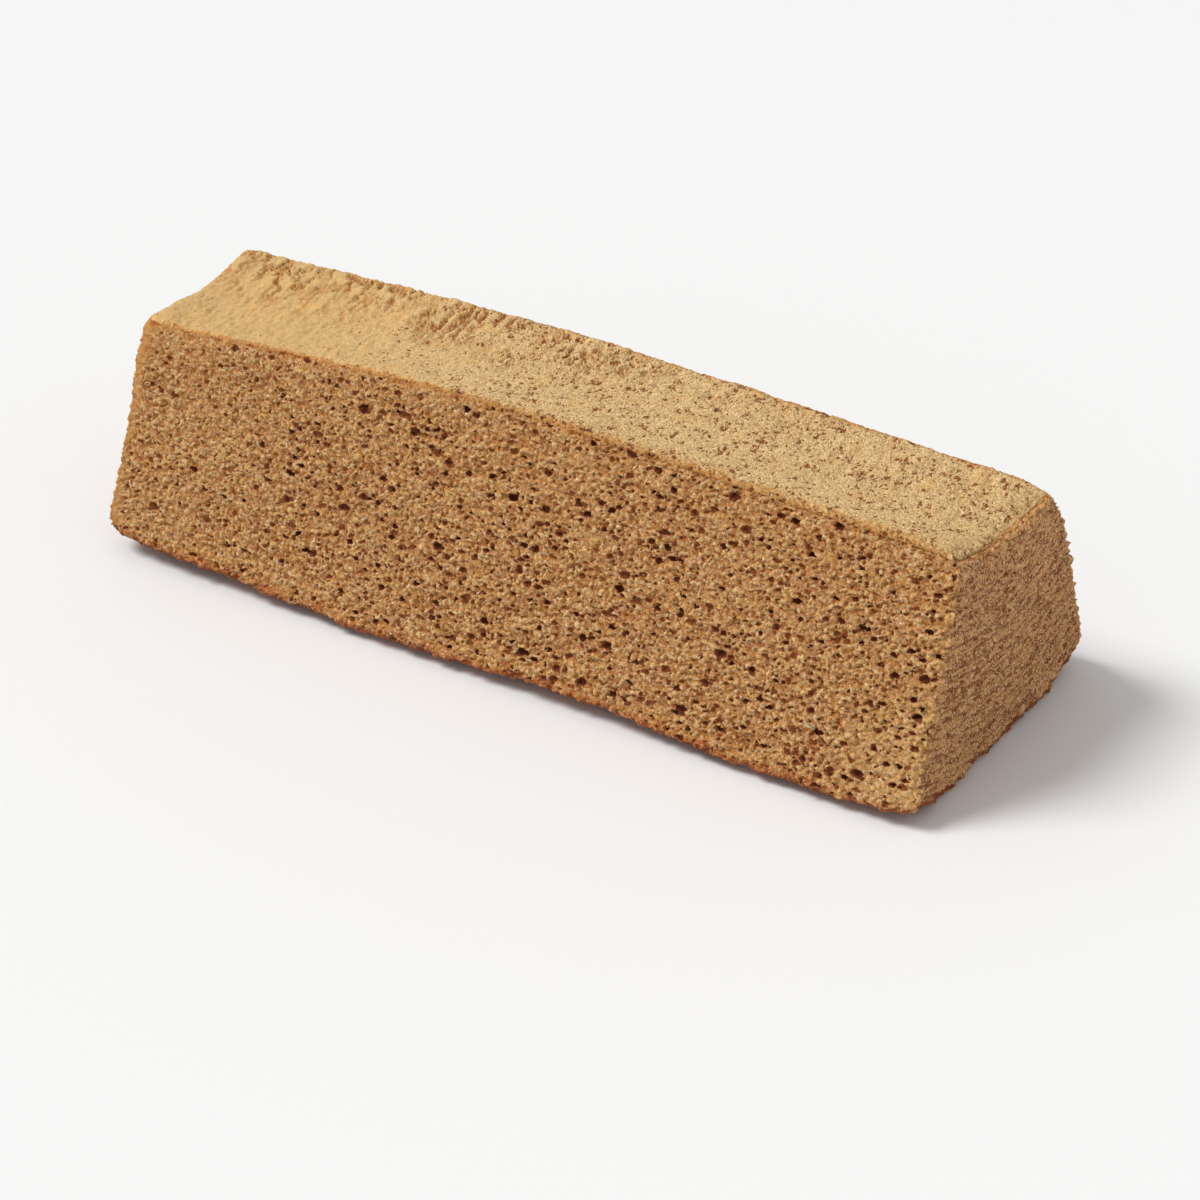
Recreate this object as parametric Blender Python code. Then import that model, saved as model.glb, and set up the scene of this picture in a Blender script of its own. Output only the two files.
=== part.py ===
"""A baumkuchen bar: one eighth of a ring cake, baked on a turning rod and cut along its axis.

Metres, +Z up, the bar's length along X. The narrow, slightly hollow top is the skin that lay on the
rod, the two leaning sides are the knife's cuts, and the wide, arched underside is the browned outer
crust. The origin is on the resting plane, under the middle of the bar.
"""

import math

import bmesh
import bpy

# Ring that the bar was cut from.
SLICES_OF_RING = 8
RING_AXIS_HEIGHT = 0.0710
INNER_RADIUS = 0.0361
OUTER_RADIUS = 0.0735
HALF_SECTOR = math.pi / SLICES_OF_RING

# Bar.
LENGTH = 0.1526
END_LEAN = {"front": 0.0018, "back": 0.0004}
INNER_HOLLOW = 0.0015
OUTER_BELLY = 0.0045
FRONT_BULGE = 0.0003
BACK_BULGE = 0.0009
HALF_LENGTH = LENGTH / 2

# How much each top edge stands above the plain ring's corner: at the left end, crest and right end,
# and where along the bar the crest is.
FRONT_TOP = {"left": -0.0010, "crest": 0.0024, "right": 0.0008, "crest_x": -0.008}
BACK_TOP = {"left": 0.0013, "crest": 0.0041, "right": -0.0004, "crest_x": -0.014}
CROWN_POWER = 1.45

# The lower edges hang in slow waves, and turn up at the corners that were handled.
FRONT_WAVE = {"rise": 0.0006, "period": 0.072, "high_x": 0.014, "lift": -0.0010}
BACK_WAVE = {"rise": 0.0005, "period": 0.060, "high_x": -0.021, "lift": 0.0000}
CORNER_TURN_UP = {"left": 0.0026, "right": 0.0004}
CORNER_TURN_LENGTH = 0.0045

# Rounding of the long edges, and of the rim of each end cut: along the top and underside, and at
# the sides.
TOP_EDGE_RADIUS = 0.0009
BACK_LOWER_RADIUS = 0.0024
FRONT_LOWER_RADIUS = 0.0011
SMALLEST_RADIUS = 0.00025
LEFT_RIM = {"radius": 0.0026, "sides": 0.0020}
RIGHT_RIM = {"radius": 0.0020, "sides": 0.0010}

# Fineness of the faceted solid.
STATIONS = 28
RIM_STEPS = 4
END_RINGS = (0.66, 0.33)
TOP_STEPS = 7
SIDE_STEPS = 6
UNDERSIDE_STEPS = 14
CORNER_STEPS = 2
SHARP_ANGLE = math.radians(40)

CRUMB_COLOUR = (0.46, 0.26, 0.12, 1.0)
CRUMB_ROUGHNESS = 0.85


def remove_everything():
    for old in list(bpy.data.objects):
        bpy.data.objects.remove(old, do_unlink=True)


def cake_material():
    """Plain sponge colour, without gloss or metal."""
    material = bpy.data.materials.new("baked_crumb")
    material.use_nodes = True
    shader = material.node_tree.nodes["Principled BSDF"]
    shader.inputs["Base Color"].default_value = CRUMB_COLOUR
    shader.inputs["Roughness"].default_value = CRUMB_ROUGHNESS
    shader.inputs["Metallic"].default_value = 0.0
    return material


def crown(x, edge):
    """How much a top edge stands up at x: it falls from its crest towards both ends."""
    side = "left" if x < edge["crest_x"] else "right"
    end_x = -HALF_LENGTH if side == "left" else HALF_LENGTH
    share = (x - edge["crest_x"]) / (end_x - edge["crest_x"])
    return edge["crest"] - (edge["crest"] - edge[side]) * min(share, 1.0) ** CROWN_POWER


def hang(x, wave):
    """How much a lower edge stands up at x: slow waves, and a turned-up corner at each end."""
    phase = 2 * math.pi * (x - wave["high_x"]) / wave["period"]
    turned = CORNER_TURN_UP["left"] * math.exp(-(x + HALF_LENGTH) / CORNER_TURN_LENGTH)
    turned += CORNER_TURN_UP["right"] * math.exp((x - HALF_LENGTH) / CORNER_TURN_LENGTH)
    return wave["lift"] + wave["rise"] * math.cos(phase) + turned


def ring_corner(height, direction, side_inset):
    """The point of a radial cut at a height, moved in from the cut by side_inset."""
    half_width = (RING_AXIS_HEIGHT - height) * math.tan(HALF_SECTOR)
    return direction * (half_width - side_inset / math.cos(HALF_SECTOR)), height


def bowed(start, end, depth, steps):
    """Points from start to end on a shallow arch that stands out by depth to the right of the way."""
    run_y = end[0] - start[0]
    run_z = end[1] - start[1]
    length = math.hypot(run_y, run_z)
    points = []
    for step in range(steps + 1):
        share = step / steps
        out = depth * 4 * share * (1 - share)
        points.append((start[0] + run_y * share + out * run_z / length,
                       start[1] + run_z * share - out * run_y / length))
    return points


def towards(start, end, distance):
    """The point at a distance from start on the way to end."""
    share = distance / math.dist(start, end)
    return start[0] + (end[0] - start[0]) * share, start[1] + (end[1] - start[1]) * share


def rounded_corner(before, corner, after, radius):
    """The inner points of a curve that rounds a corner off between its two neighbours."""
    start = towards(corner, before, radius)
    end = towards(corner, after, radius)
    points = []
    for step in range(CORNER_STEPS + 1):
        t = step / CORNER_STEPS
        weights = ((1 - t) ** 2, 2 * t * (1 - t), t**2)
        y = sum(w * p[0] for w, p in zip(weights, (start, corner, end), strict=True))
        z = sum(w * p[1] for w, p in zip(weights, (start, corner, end), strict=True))
        points.append((y, z))
    return points


def section(x, inset, side_inset):
    """The bar's outline at x as (y, z) points, drawn in by the two insets, front top first."""
    inner_corner = RING_AXIS_HEIGHT - INNER_RADIUS * math.cos(HALF_SECTOR)
    outer_corner = RING_AXIS_HEIGHT - OUTER_RADIUS * math.cos(HALF_SECTOR)
    front_top = ring_corner(inner_corner + crown(x, FRONT_TOP) - inset, -1, side_inset)
    back_top = ring_corner(inner_corner + crown(x, BACK_TOP) - inset, 1, side_inset)
    back_low = ring_corner(outer_corner + hang(x, BACK_WAVE) + inset, 1, side_inset)
    front_low = ring_corner(outer_corner + hang(x, FRONT_WAVE) + inset, -1, side_inset)

    sides = (
        bowed(front_top, back_top, INNER_HOLLOW, TOP_STEPS),
        bowed(back_top, back_low, -BACK_BULGE, SIDE_STEPS),
        bowed(back_low, front_low, -OUTER_BELLY, UNDERSIDE_STEPS),
        bowed(front_low, front_top, -FRONT_BULGE, SIDE_STEPS),
    )
    radii = (TOP_EDGE_RADIUS, BACK_LOWER_RADIUS, FRONT_LOWER_RADIUS, TOP_EDGE_RADIUS)
    outline = []
    for side, following, radius in zip(sides, sides[1:] + sides[:1], radii, strict=True):
        outline.extend(side[1:-1])
        kept_radius = max(radius - side_inset, SMALLEST_RADIUS)
        outline.extend(rounded_corner(side[-2], side[-1], following[1], kept_radius))
    return [(y, max(z, inset)) for y, z in outline]


def stations():
    """(x, inset, side inset) of every section: a round rim at each end and plain steps between."""
    left = []
    right = []
    for step in range(RIM_STEPS + 1):
        turn = math.pi / 2 * step / RIM_STEPS
        for rows, rim, inward in ((left, LEFT_RIM, 1), (right, RIGHT_RIM, -1)):
            x = inward * (rim["radius"] * (1 - math.cos(turn)) - HALF_LENGTH)
            left_over = 1 - math.sin(turn)
            rows.append((x, rim["radius"] * left_over, rim["sides"] * left_over))
    first = left[-1][0]
    last = right[-1][0]
    between = [first + (last - first) * step / STATIONS for step in range(1, STATIONS)]
    return left + [(x, 0.0, 0.0) for x in between] + right[::-1]


def end_lean(x, y, z):
    """How far the slanted end cuts draw a point in towards the middle: most at the front top."""
    top = RING_AXIS_HEIGHT - INNER_RADIUS
    back_share = min(max(0.5 + y / (2 * INNER_RADIUS * math.sin(HALF_SECTOR)), 0.0), 1.0)
    lean = END_LEAN["front"] + (END_LEAN["back"] - END_LEAN["front"]) * back_share
    return lean * x / HALF_LENGTH * z / top


def add_loop(mesh, x, outline):
    """The vertices of one section."""
    return [mesh.verts.new((x - end_lean(x, y, z), y, z)) for y, z in outline]


def skin(mesh, first, second):
    """A band of faces between two loops."""
    for index in range(len(first)):
        following = (index + 1) % len(first)
        mesh.faces.new((first[index], first[following], second[following], second[index]))


def close_end(mesh, loop, x, outline):
    """An end cut: rings that shrink towards its middle, and a last fan of faces."""
    middle_y = sum(y for y, z in outline) / len(outline)
    middle_z = sum(z for y, z in outline) / len(outline)
    for size in END_RINGS:
        ring = [(middle_y + (y - middle_y) * size, middle_z + (z - middle_z) * size) for y, z in outline]
        inner_loop = add_loop(mesh, x, ring)
        skin(mesh, loop, inner_loop)
        loop = inner_loop
    middle = add_loop(mesh, x, [(middle_y, middle_z)])[0]
    for index in range(len(loop)):
        mesh.faces.new((loop[index], loop[(index + 1) % len(loop)], middle))


def centre_over_origin(mesh):
    """The middle of the bar's length and width comes to X 0 and Y 0; its height stays."""
    for axis in (0, 1):
        places = [vertex.co[axis] for vertex in mesh.verts]
        middle = (min(places) + max(places)) / 2
        for vertex in mesh.verts:
            vertex.co[axis] -= middle


def build_bar():
    mesh = bmesh.new()
    loops = []
    rows = [(x, section(x, inset, side_inset)) for x, inset, side_inset in stations()]
    for x, outline in rows:
        loops.append(add_loop(mesh, x, outline))
    for first, second in zip(loops, loops[1:], strict=False):
        skin(mesh, first, second)
    close_end(mesh, loops[0], *rows[0])
    close_end(mesh, loops[-1], *rows[-1])
    bmesh.ops.recalc_face_normals(mesh, faces=mesh.faces)
    bmesh.ops.triangulate(mesh, faces=mesh.faces)
    centre_over_origin(mesh)

    data = bpy.data.meshes.new("baumkuchen_bar")
    mesh.to_mesh(data)
    mesh.free()
    data.shade_smooth()
    data.set_sharp_from_angle(angle=SHARP_ANGLE)
    data.materials.append(cake_material())
    bar = bpy.data.objects.new("baumkuchen_bar", data)
    bpy.context.scene.collection.objects.link(bar)


remove_everything()
build_bar()
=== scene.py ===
"""Looks of the baumkuchen bar: open crumb on the cuts, pale pitted skin on top, browned crust below.

A fine mesh over the CAD solid is marked by surface, pushed in and out by fields of pores, crumb, layers
and folds, and parted into one closed piece for each surface. The materials read the same fields.
"""

import math

import bpy
import numpy as np
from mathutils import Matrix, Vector


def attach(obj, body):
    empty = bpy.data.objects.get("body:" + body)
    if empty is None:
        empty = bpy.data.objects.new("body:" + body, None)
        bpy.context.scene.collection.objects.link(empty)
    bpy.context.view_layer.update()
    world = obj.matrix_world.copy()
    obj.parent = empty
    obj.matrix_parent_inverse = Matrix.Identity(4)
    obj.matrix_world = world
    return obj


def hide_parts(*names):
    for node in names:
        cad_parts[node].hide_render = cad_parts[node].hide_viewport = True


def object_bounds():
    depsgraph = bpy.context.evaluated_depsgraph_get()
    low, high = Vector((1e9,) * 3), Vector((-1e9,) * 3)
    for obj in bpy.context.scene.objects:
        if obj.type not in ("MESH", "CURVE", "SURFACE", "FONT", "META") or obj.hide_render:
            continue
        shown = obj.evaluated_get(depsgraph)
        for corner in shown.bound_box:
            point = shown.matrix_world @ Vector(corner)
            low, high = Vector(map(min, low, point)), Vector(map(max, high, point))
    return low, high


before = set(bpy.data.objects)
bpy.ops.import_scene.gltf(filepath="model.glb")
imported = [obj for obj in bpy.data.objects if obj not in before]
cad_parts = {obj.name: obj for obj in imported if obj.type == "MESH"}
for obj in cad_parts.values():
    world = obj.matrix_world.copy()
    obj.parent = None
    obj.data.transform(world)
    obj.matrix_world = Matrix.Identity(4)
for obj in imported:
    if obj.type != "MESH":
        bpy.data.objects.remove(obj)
cad_low, cad_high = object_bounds()

NODE = "baumkuchen_bar"
MM = 0.001
HEART = Vector((0.0, 0.0, (cad_high[2] - cad_low[2]) / 2))

# The ring that the bar was cut from, in mm: height of its axis, how thick one baked layer is, and
# the radius along which the way around it is measured.
RING_AXIS_MM = 71.0
LAYER_MM = 1.9
MEAN_RADIUS_MM = 50.0

# Size of the mesh's faces, fine for the finished bar, and how far its normals are evened out.
CRUMB_FACE = 0.00025
NORMAL_ROUNDS = 8
MOST_TRIANGLES = {"cut": 188000, "crust": 120000}

# Studio: a pale floor, an even sky and one soft light from the upper left.
FLOOR_SIZE = 6.0
FLOOR_COLOUR = (0.87, 0.87, 0.865, 1)
FLOOR_ROUGHNESS = 0.6
SKY_COLOUR = (1, 1, 1, 1)
SKY_STRENGTH = 0.53
KEY_STRENGTH = 2.2
KEY_SPREAD = math.radians(25)
TOWARDS_KEY = Vector((-0.52, -0.30, 0.80))

# Camera, as the bar is seen from a little above, over its right front corner.
VIEW_AZIMUTH = math.radians(32.87)
VIEW_ELEVATION = math.radians(31.0)
VIEW_DISTANCE = 0.5139
VIEW_TARGET = Vector((0.0047, -0.00013, 0.0023))
VIEW_LENS = 96.0
VIEW_SENSOR = 36.0


# -------------------- wiring of node trees


def plug(tree, node, inputs):
    """Joins sockets to a node's inputs, or sets them where a plain value is given."""
    for name, value in inputs.items():
        if isinstance(value, bpy.types.NodeSocket):
            tree.links.new(value, node.inputs[name])
        else:
            node.inputs[name].default_value = value
    return node


def wire(tree, kind, inputs=None, **settings):
    """A new node with its settings and inputs."""
    node = tree.nodes.new(kind)
    for name, value in settings.items():
        setattr(node, name, value)
    return plug(tree, node, inputs or {})


def maths(tree, operation, *values, clamp=False):
    """The result of a sum on numbers."""
    node = wire(tree, "ShaderNodeMath", dict(enumerate(values)), operation=operation)
    node.use_clamp = clamp
    return node.outputs[0]


def less(tree, value, taken):
    """A number with another one taken away."""
    return maths(tree, "SUBTRACT", value, taken)


def scaled(tree, value, factor, added):
    """A number times a factor, and another one added."""
    return maths(tree, "MULTIPLY_ADD", value, factor, added)


def vectors(tree, operation, *values):
    """The result of a sum on vectors."""
    node = wire(tree, "ShaderNodeVectorMath", dict(enumerate(values)), operation=operation)
    return node.outputs["Value" if operation in ("DOT_PRODUCT", "LENGTH") else "Vector"]


def stretched(tree, vector, factor):
    """A vector times a number."""
    node = wire(tree, "ShaderNodeVectorMath", {0: vector, "Scale": factor}, operation="SCALE")
    return node.outputs["Vector"]


def ramped(tree, value, low, high, to_low=0.0, to_high=1.0, smooth=True):
    """A value's place between low and high, from to_low to to_high."""
    inputs = {"Value": value, "From Min": low, "From Max": high, "To Min": to_low, "To Max": to_high}
    kind = "SMOOTHSTEP" if smooth else "LINEAR"
    return wire(tree, "ShaderNodeMapRange", inputs, interpolation_type=kind).outputs["Result"]


def product(tree, *values):
    """Numbers multiplied with one another."""
    result = values[0]
    for value in values[1:]:
        result = maths(tree, "MULTIPLY", result, value)
    return result


def total(tree, *values):
    """Numbers added to one another."""
    result = values[0]
    for value in values[1:]:
        result = maths(tree, "ADD", result, value)
    return result


def xyz(tree, vector):
    """The three parts of a vector."""
    node = wire(tree, "ShaderNodeSeparateXYZ", {"Vector": vector})
    return tuple(node.outputs[axis] for axis in "XYZ")


def noise(tree, vector, scale, detail=2.0, roughness=0.5, colour=False):
    """Uneven values about 0.5, with scale bumps to a mm where places are in mm."""
    inputs = {"Vector": vector, "Scale": scale, "Detail": detail, "Roughness": roughness}
    return wire(tree, "ShaderNodeTexNoise", inputs).outputs[1 if colour else 0]


def swing(tree, *settings):
    """Noise that swings about 0 instead."""
    return less(tree, noise(tree, *settings), 0.5)


def new_group(name, kind, inputs, outputs):
    """An empty node group with named sockets; returns the tree and its two end nodes."""
    tree = bpy.data.node_groups.new(name, kind)
    for label, socket, value in inputs:
        made = tree.interface.new_socket(label, in_out="INPUT", socket_type="NodeSocket" + socket)
        if value is not None:
            made.default_value = value
    for label, socket in outputs:
        tree.interface.new_socket(label, in_out="OUTPUT", socket_type="NodeSocket" + socket)
    return tree, tree.nodes.new("NodeGroupInput"), tree.nodes.new("NodeGroupOutput")


def new_shaper(name):
    """An empty geometry tree for a modifier; returns the tree and its two end nodes."""
    return new_group(name, "GeometryNodeTree", (("Geometry", "Geometry", None),), (("Geometry", "Geometry"),))


def grouped(tree, group, inputs):
    """A group used inside another tree."""
    kind = "GeometryNodeGroup" if tree.bl_idname == "GeometryNodeTree" else "ShaderNodeGroup"
    return plug(tree, wire(tree, kind, node_tree=group), inputs)


# -------------------- fields shared by shape and colour
#
# Each field is built twice from the same function, once for the shape and once for the materials,
# so that the colour of a pore lies exactly in the pore. Places, heights and depths are in mm; X runs
# from the left end, at -76, to the right one, and Y from the front to the back.

# Inputs of the fields: a place, and the way out of the bar there.
SURFACE_INPUTS = (("Place", "Vector", None), ("Outward", "Vector", (0.0, 0.0, 1.0)))

# Stretches along X and Y over which something sets in: from where it is missing to where it is full.
LEFT_RIM = (-60.0, -70.0)
LEFT_TIP = (-66.0, -72.0)
RIGHT_RIM = (55.0, 65.0)
RIGHT_TIP = (60.0, 70.0)
FRONT_EDGE = (0.0, -8.0)


def bubble_group(kind):
    """Gas bubbles in the batter, cut open by a surface: how open they are there and how deep.

    Each cell holds at most one bubble, longer along X than across.
    """
    tree, start, end = new_group(
        "bubbles", kind,
        (*SURFACE_INPUTS, ("Cell", "Float", 1.0), ("Stretch", "Float", 1.4), ("Small", "Float", 0.1),
         ("Large", "Float", 0.3), ("Share", "Float", 0.8), ("Scatter", "Float", 1.0)),
        (("Depth", "Float"), ("Open", "Float")),
    )
    across = maths(tree, "DIVIDE", 1.0, start.outputs["Cell"])
    along = maths(tree, "DIVIDE", across, start.outputs["Stretch"])
    shape = wire(tree, "ShaderNodeCombineXYZ", {"X": along, "Y": across, "Z": across}).outputs[0]
    here = vectors(tree, "MULTIPLY", start.outputs["Place"], shape)
    outward = vectors(tree, "MULTIPLY", start.outputs["Outward"], shape)
    cell = wire(tree, "ShaderNodeTexVoronoi",
                {"Vector": here, "Scale": 1.0, "Randomness": start.outputs["Scatter"]})
    size_chance, there_chance, _ = xyz(tree, cell.outputs["Color"])
    size = ramped(tree, size_chance, 0.0, 1.0, start.outputs["Small"], start.outputs["Large"], False)
    size = maths(tree, "DIVIDE", size, start.outputs["Cell"])
    there = maths(tree, "LESS_THAN", there_chance, start.outputs["Share"])
    radius = scaled(tree, size, there, 0.0001)

    from_middle = vectors(tree, "SUBTRACT", here, cell.outputs["Position"])
    away = vectors(tree, "DOT_PRODUCT", from_middle, from_middle)
    above = vectors(tree, "DOT_PRODUCT", from_middle, outward)
    steep = vectors(tree, "DOT_PRODUCT", outward, outward)
    room = less(tree, product(tree, radius, radius), away)
    root = scaled(tree, above, above, product(tree, steep, room))
    root = maths(tree, "SQRT", maths(tree, "MAXIMUM", root, 0.0))
    depth = maths(tree, "DIVIDE", total(tree, above, root), steep)
    inside = maths(tree, "GREATER_THAN", room, 0.0)
    depth = product(tree, maths(tree, "MAXIMUM", depth, 0.0), inside)
    share = maths(tree, "DIVIDE", maths(tree, "SQRT", away), radius)
    plug(tree, end, {"Depth": depth, "Open": maths(tree, "SUBTRACT", 1.0, share, clamp=True)})
    return tree


def kneaded_group(kind):
    """A place moved about by noise, so that what is drawn from it has uneven outlines."""
    tree, start, end = new_group(
        "kneaded", kind, (("Place", "Vector", None), ("Amount", "Float", 1.0)), (("Place", "Vector"),)
    )
    place = start.outputs["Place"]
    slow = vectors(tree, "SUBTRACT", noise(tree, place, 0.8, 1.0, colour=True), (0.5, 0.5, 0.5))
    fast = vectors(tree, "SUBTRACT", noise(tree, place, 2.9, 1.0, colour=True), (0.5, 0.5, 0.5))
    push = vectors(tree, "ADD", stretched(tree, slow, 1.2), stretched(tree, fast, 0.55))
    push = stretched(tree, push, start.outputs["Amount"])
    plug(tree, end, {"Place": vectors(tree, "ADD", place, push)})
    return tree


def deepest(tree, bubbles, place, outward, pores, share=None, size=None):
    """The depth and the opening of several kinds of bubbles together."""
    depth = opening = None
    for sizes in pores:
        inputs = dict(sizes, Place=place, Outward=outward)
        if share is not None:
            inputs["Share"] = product(tree, share, sizes["Share"])
        if size is not None:
            for label in ("Small", "Large"):
                inputs[label] = product(tree, size, sizes[label])
        found = grouped(tree, bubbles, inputs)
        if depth is None:
            depth, opening = found.outputs["Depth"], found.outputs["Open"]
        else:
            depth = maths(tree, "MAXIMUM", depth, found.outputs["Depth"])
            opening = maths(tree, "MAXIMUM", opening, found.outputs["Open"])
    return depth, opening


# Kinds of pores: size of their cells, stretch, smallest and largest radius in mm, share of cells.
CUT_PORES = (
    {"Cell": 2.3, "Stretch": 1.6, "Small": 0.32, "Large": 0.70, "Share": 0.72},
    {"Cell": 1.3, "Stretch": 1.5, "Small": 0.24, "Large": 0.52, "Share": 0.95},
    {"Cell": 0.86, "Stretch": 1.2, "Small": 0.14, "Large": 0.34, "Share": 0.95},
)
CUT_CELLS = (
    {"Cell": 0.95, "Stretch": 1.25, "Small": 0.25, "Large": 0.55, "Share": 0.7},
    {"Cell": 0.46, "Stretch": 1.1, "Small": 0.12, "Large": 0.27, "Share": 0.9},
)
END_PORES = (
    {"Cell": 1.5, "Stretch": 1.0, "Small": 0.12, "Large": 0.44, "Share": 0.7},
    {"Cell": 0.70, "Stretch": 1.0, "Small": 0.14, "Large": 0.34, "Share": 0.85, "Scatter": 0.8},
)
SKIN_PORES = (
    {"Cell": 1.7, "Stretch": 0.75, "Small": 0.14, "Large": 0.52, "Share": 0.6},
    {"Cell": 0.92, "Stretch": 0.7, "Small": 0.12, "Large": 0.38, "Share": 0.85},
    {"Cell": 0.55, "Stretch": 0.6, "Small": 0.10, "Large": 0.24, "Share": 0.5},
)


def cut_group(kind, bubbles, kneaded):
    """Open crumb of the long cuts: round pores in a foam of small hollows with thin walls."""
    tree, start, end = new_group(
        "open_crumb", kind, (*SURFACE_INPUTS, ("Crowd", "Float", 1.0)),
        (("Height", "Float"), ("Pore", "Float"), ("Hollow", "Float"), ("Grain", "Float"), ("Gap", "Float")),
    )
    place, outward = start.outputs["Place"], start.outputs["Outward"]
    uneven = grouped(tree, kneaded, {"Place": place, "Amount": 0.6}).outputs["Place"]
    crowd = ramped(tree, noise(tree, place, 0.11, 1.0), 0.35, 0.65, 0.7, 1.1, False)
    along, _, _ = xyz(tree, place)
    crowd = product(tree, crowd, ramped(tree, along, -70.0, -15.0, 0.8, 1.0), start.outputs["Crowd"])
    size = ramped(tree, along, -75.0, -25.0, 0.82, 1.0)
    pore_depth, _ = deepest(tree, bubbles, uneven, outward, CUT_PORES, crowd, size)
    cell_depth, _ = deepest(tree, bubbles, uneven, outward, CUT_CELLS)
    pore_depth = product(tree, maths(tree, "MINIMUM", pore_depth, 1.1),
                         ramped(tree, along, -72.0, -35.0, 0.85, 1.0))
    cell_depth = maths(tree, "MINIMUM", cell_depth, 0.35)
    grain = noise(tree, uneven, 2.0, 3.0, 0.65)
    crumbs = wire(tree, "ShaderNodeTexVoronoi", {"Vector": uneven, "Scale": 1.3})
    gap = ramped(tree, crumbs.outputs["Distance"], 0.1, 0.7)
    depth = maths(tree, "MAXIMUM", pore_depth, cell_depth)
    height = scaled(tree, less(tree, grain, 0.1), 0.65, product(tree, depth, -1.0))
    height = scaled(tree, gap, -0.42, total(tree, height, 0.12))
    plug(tree, end, {"Height": height, "Pore": pore_depth, "Hollow": cell_depth, "Grain": grain, "Gap": gap})
    return tree


def ring_group(kind):
    """Where a place is in the ring: its distance from the axis in mm, and its way around in mm."""
    tree, start, end = new_group(
        "ring_place", kind, (("Place", "Vector", None),), (("Radius", "Float"), ("Around", "Vector"))
    )
    x, y, z = xyz(tree, start.outputs["Place"])
    down = less(tree, RING_AXIS_MM, z)
    square = scaled(tree, down, down, maths(tree, "POWER", y, 2.0))
    radius = maths(tree, "SQRT", square)
    around = product(tree, maths(tree, "ARCTAN2", y, down), MEAN_RADIUS_MM)
    flat = wire(tree, "ShaderNodeCombineXYZ", {"X": x, "Y": around, "Z": radius})
    plug(tree, end, {"Radius": radius, "Around": flat.outputs[0]})
    return tree


def end_group(kind, bubbles, kneaded, ring):
    """Close crumb of the end cuts: the layers show as faint lines and the pores are small."""
    tree, start, end = new_group(
        "close_crumb", kind, SURFACE_INPUTS,
        (("Height", "Float"), ("Pore", "Float"), ("Layer", "Float"), ("Grain", "Float"), ("Step", "Float")),
    )
    place, outward = start.outputs["Place"], start.outputs["Outward"]
    uneven = grouped(tree, kneaded, {"Place": place, "Amount": 0.7}).outputs["Place"]
    around = grouped(tree, ring, {"Place": uneven}).outputs["Around"]
    radius = grouped(tree, ring, {"Place": place}).outputs["Radius"]
    squeezed = vectors(tree, "MULTIPLY", around, (1.0, 0.5, 1.25))
    depth, _ = deepest(tree, bubbles, squeezed, outward, END_PORES)
    sway = noise(tree, place, 0.12, 1.0)
    turn = maths(tree, "DIVIDE", scaled(tree, sway, 2.4, radius), LAYER_MM)
    under_skin = ramped(tree, radius, 37.5, 40.5)
    layer = product(tree, ramped(tree, maths(tree, "PINGPONG", turn, 0.5), 0.0, 0.26, 1.0, 0.0),
                    ramped(tree, noise(tree, around, 0.35, 2.0), 0.38, 0.6), under_skin)
    drawn_out = vectors(tree, "MULTIPLY", around, (0.8, 0.22, 1.0))
    grain = noise(tree, drawn_out, 1.6, 2.0, 0.6)
    height = scaled(tree, less(tree, grain, 0.5), 0.7,
                    product(tree, maths(tree, "MINIMUM", depth, 0.34), -1.0))
    step = product(tree, less(tree, maths(tree, "FRACT", turn), 0.5), under_skin)
    height = scaled(tree, step, 0.34, height)
    height = scaled(tree, layer, -0.24, height)
    height = total(tree, height, 0.15)
    plug(tree, end, {"Height": height, "Pore": depth, "Layer": layer, "Grain": grain, "Step": step})
    return tree


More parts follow.
